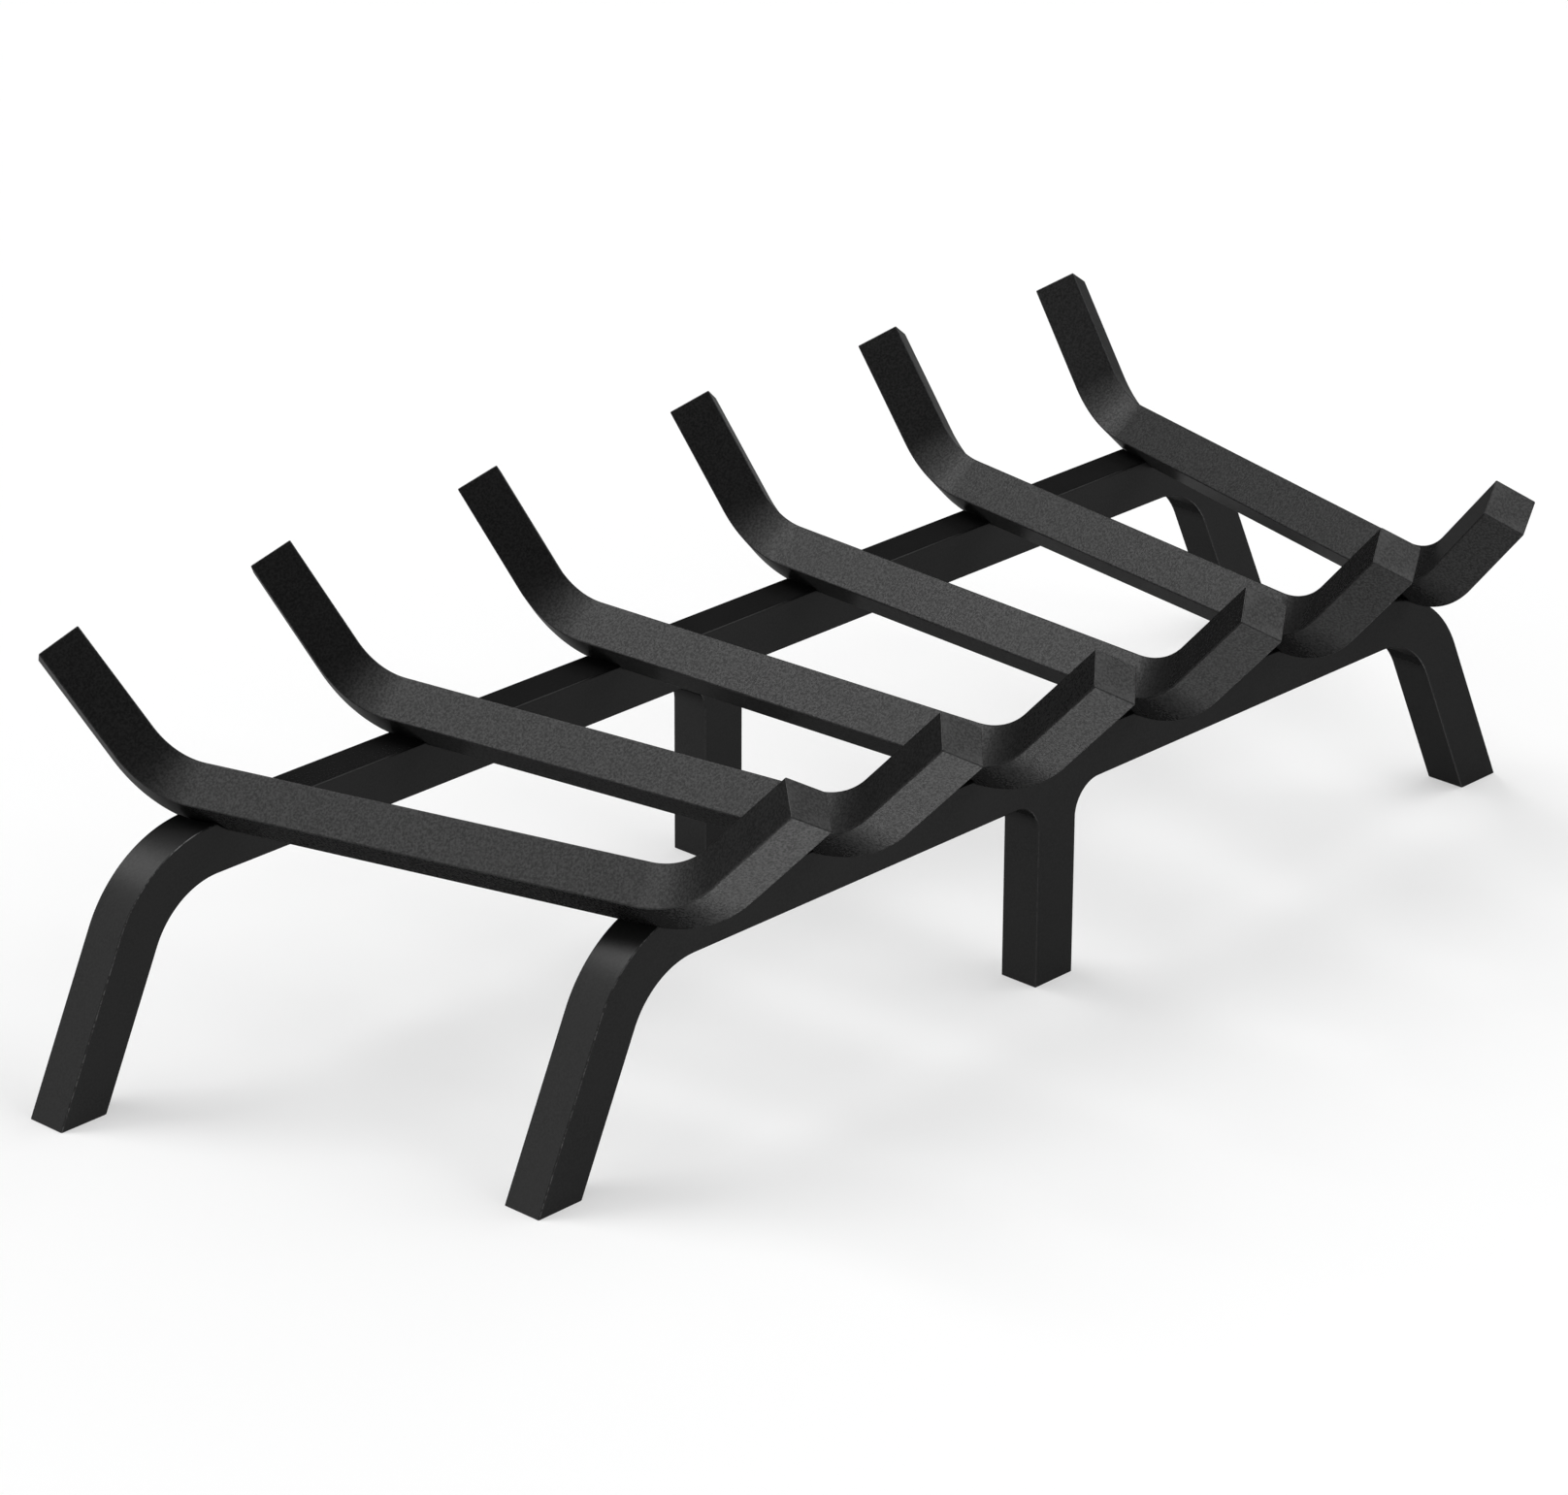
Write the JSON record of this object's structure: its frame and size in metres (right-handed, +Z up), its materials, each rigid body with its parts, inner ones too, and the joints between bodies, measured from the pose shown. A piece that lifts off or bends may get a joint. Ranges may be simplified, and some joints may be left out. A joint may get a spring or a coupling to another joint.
{
  "type": "log grate",
  "caption": "Tapered welded fireplace log grate: square bars set on their corners with turned-up ends, on bent end-leg rails with middle legs.",
  "frame": {"origin": "on the hearth, under the middle of the log bars: the bottom centre of the bounding box", "axes": "+X along the rails, +Y from the short rear rail to the long front rail, +Z up"},
  "size_m": [0.7398, 0.3498, 0.1742],
  "materials": {
    "log_bars": "satin black heat-resistant coating on steel bar",
    "rails": "satin black heat-resistant coating on steel bar",
    "middle_legs": "satin black heat-resistant coating on steel bar",
    "welds": "satin black heat-resistant coating on weld metal"
  },
  "bodies": {
    "root": {"log_bar_1": "log_bars", "log_bar_2": "log_bars", "log_bar_3": "log_bars", "log_bar_4": "log_bars", "log_bar_5": "log_bars", "log_bar_6": "log_bars", "rear_rail": "rails", "front_rail": "rails", "rear_middle_leg": "middle_legs", "front_middle_leg": "middle_legs", "rear_leg_weld": "welds", "front_leg_weld": "welds", "rear_weld_1": "welds", "rear_weld_2": "welds", "rear_weld_3": "welds", "rear_weld_4": "welds", "rear_weld_5": "welds", "rear_weld_6": "welds", "front_weld_1": "welds", "front_weld_2": "welds", "front_weld_3": "welds", "front_weld_4": "welds", "front_weld_5": "welds", "front_weld_6": "welds"}
  },
  "joints": []
}
